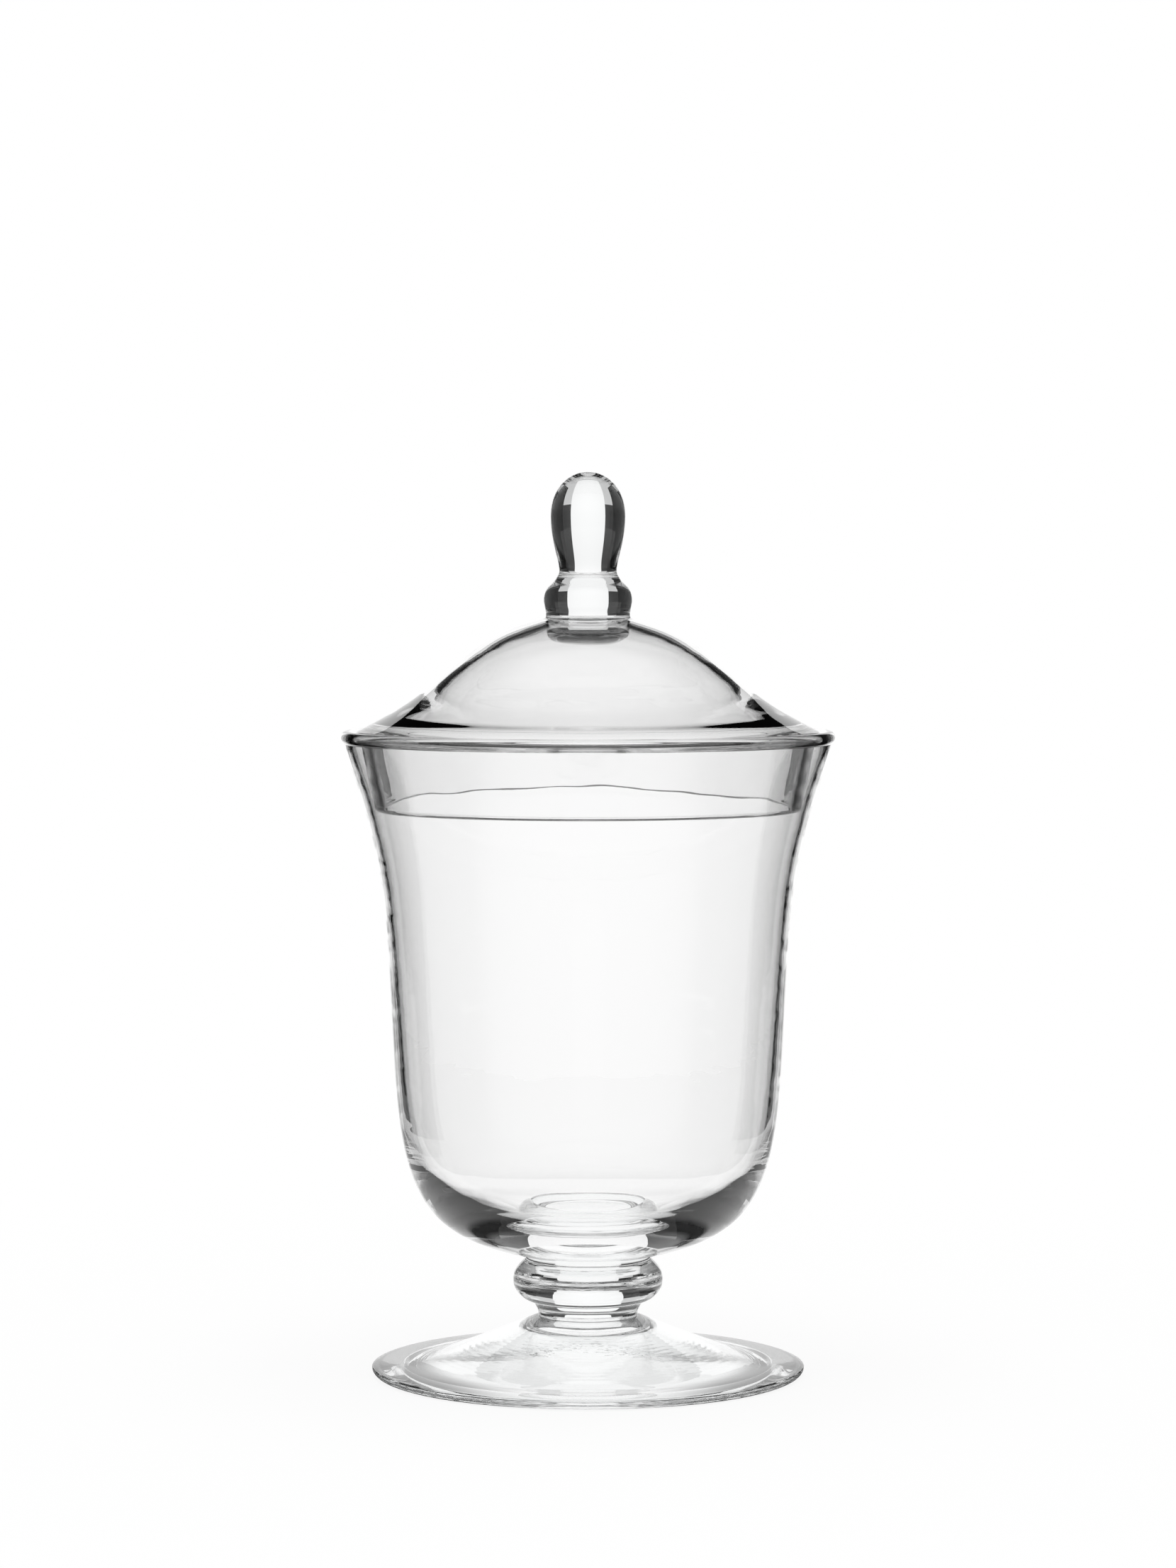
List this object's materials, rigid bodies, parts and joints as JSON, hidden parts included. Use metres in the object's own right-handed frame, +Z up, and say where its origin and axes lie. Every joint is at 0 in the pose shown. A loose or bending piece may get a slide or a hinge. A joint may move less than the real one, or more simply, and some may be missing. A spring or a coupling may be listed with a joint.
{
  "type": "apothecary jar",
  "caption": "Footed clear glass jar with a flared mouth and a knopped stem, closed by a lift-off domed lid with a solid finial.",
  "frame": {"origin": "centre of the foot, on the surface that the jar stands on", "axes": "+Z up along the jar's axis of revolution; +X and +Y are equivalent horizontal directions"},
  "size_m": [0.1532, 0.1532, 0.28],
  "materials": {
    "foot_glass": "fire-polished clear soda-lime glass, faint tooling rings near the edge",
    "stem_glass": "solid clear soda-lime glass, fire-polished",
    "bowl_glass": "blown clear soda-lime glass, fire-polished",
    "lid_glass": "blown clear soda-lime glass, fire-polished",
    "skirt_glass": "blown clear soda-lime glass with a slightly uneven fire-polished lip",
    "finial_glass": "solid clear soda-lime glass, fire-polished"
  },
  "bodies": {
    "jar": {"foot": "foot_glass", "stem_knop": "stem_glass", "bowl": "bowl_glass"},
    "lid": {"lid_dome": "lid_glass", "lid_skirt": "skirt_glass", "finial_collar": "finial_glass", "finial_knob": "finial_glass"}
  },
  "joints": [
    {"name": "lid_lift", "type": "slide", "parent": "jar", "child": "lid", "axis": [0, 0, 1], "range_m": [0, 0.06]}
  ]
}
